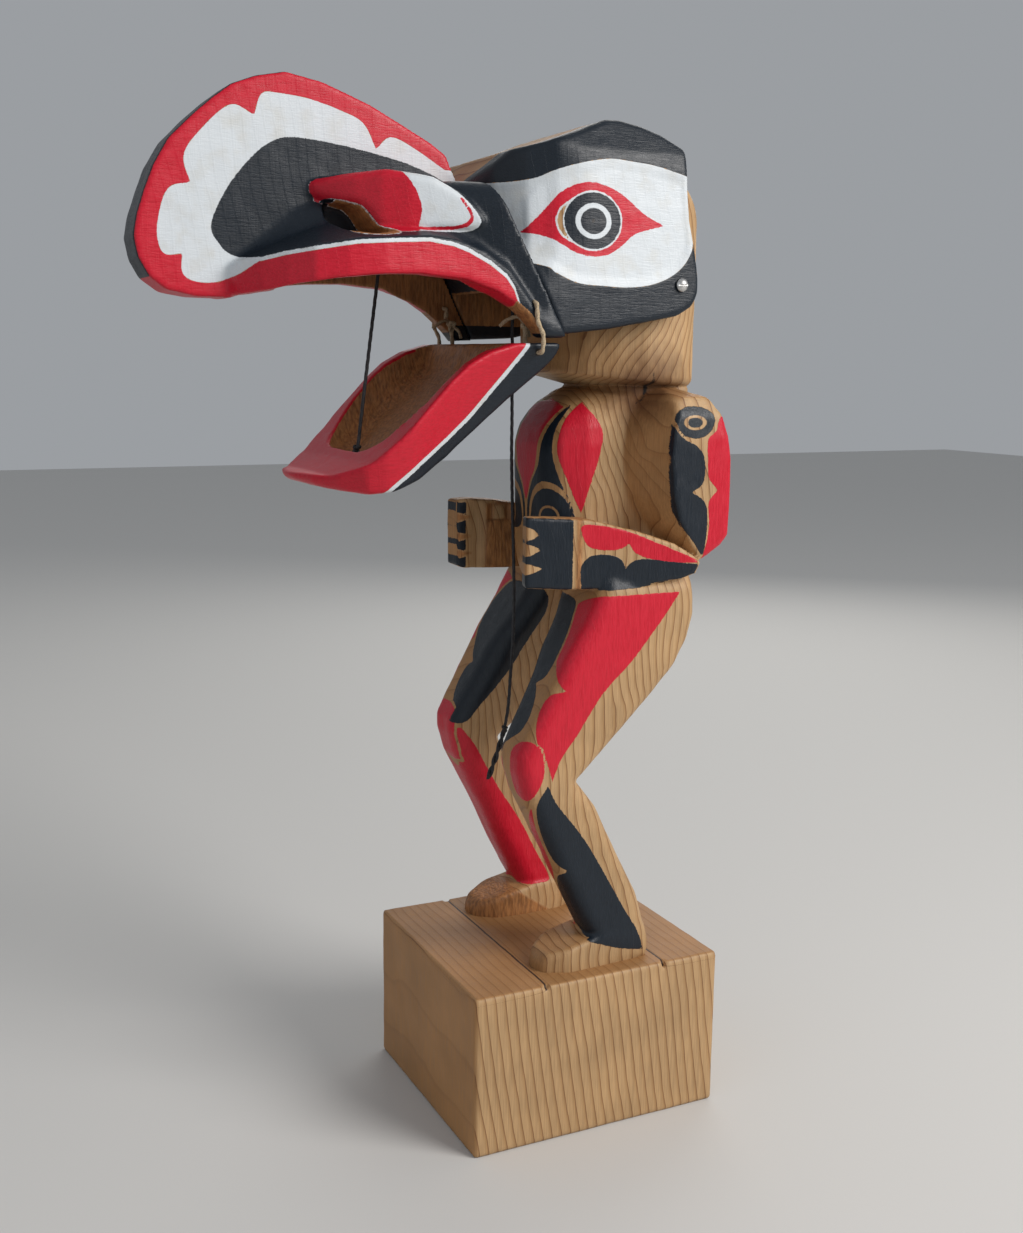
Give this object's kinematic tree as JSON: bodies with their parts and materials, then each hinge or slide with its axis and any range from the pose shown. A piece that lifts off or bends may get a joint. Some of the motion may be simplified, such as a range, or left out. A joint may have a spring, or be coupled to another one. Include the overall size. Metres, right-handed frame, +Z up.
{
  "type": "carved dancer figure with string-worked bird mask",
  "caption": "Carved and painted wooden dancer in a tall-crested bird mask, on a square block; pulling a cord shuts the hinged lower beak.",
  "frame": {"origin": "centre of the block's underside, on the surface it stands on", "axes": "+Z up, -Y the way the figure looks, +X the figure's left"},
  "size_m": [0.113, 0.2503, 0.4585],
  "materials": {
    "oiled_cedar": "oiled, satin",
    "red_paint": "satin brushed paint on wood",
    "black_paint": "satin brushed paint on wood",
    "white_paint": "satin brushed paint on wood",
    "twine": "rough twisted fibre",
    "black_cord": "waxed braid",
    "screw_steel": "dull zinc plate"
  },
  "bodies": {
    "figure": {"base_block": "oiled_cedar", "left_leg": "oiled_cedar", "right_leg": "oiled_cedar", "torso": "oiled_cedar", "left_upper_arm": "oiled_cedar", "right_upper_arm": "oiled_cedar", "left_forearm": "oiled_cedar", "right_forearm": "oiled_cedar", "head_block": "oiled_cedar", "mask_hood": "white_paint", "upper_beak": "red_paint", "left_hinge_twine": "twine", "right_hinge_twine": "twine", "left_mask_screw": "screw_steel", "right_mask_screw": "screw_steel", "cord_inner_run": "black_cord"},
    "jaw": {"lower_beak": "red_paint", "jaw_cord_knot": "black_cord", "cord_front_run": "black_cord"},
    "pull": {"pull_cord": "black_cord", "pull_cord_end": "black_cord"}
  },
  "joints": [
    {"name": "jaw_hinge", "type": "hinge", "parent": "figure", "child": "jaw", "pos_m": [0, -0.033, 0.351], "axis": [-1, 0, 0], "range_deg": [0, 38], "deforming": ["cord_front_run"]},
    {"name": "cord_pull", "type": "slide", "parent": "figure", "child": "pull", "axis": [0, 0, -1], "range_m": [0, 0.042]}
  ],
  "couplings": [
    {"joint": "cord_pull", "follows": "jaw_hinge", "m_per_rad": 0.0629}
  ]
}
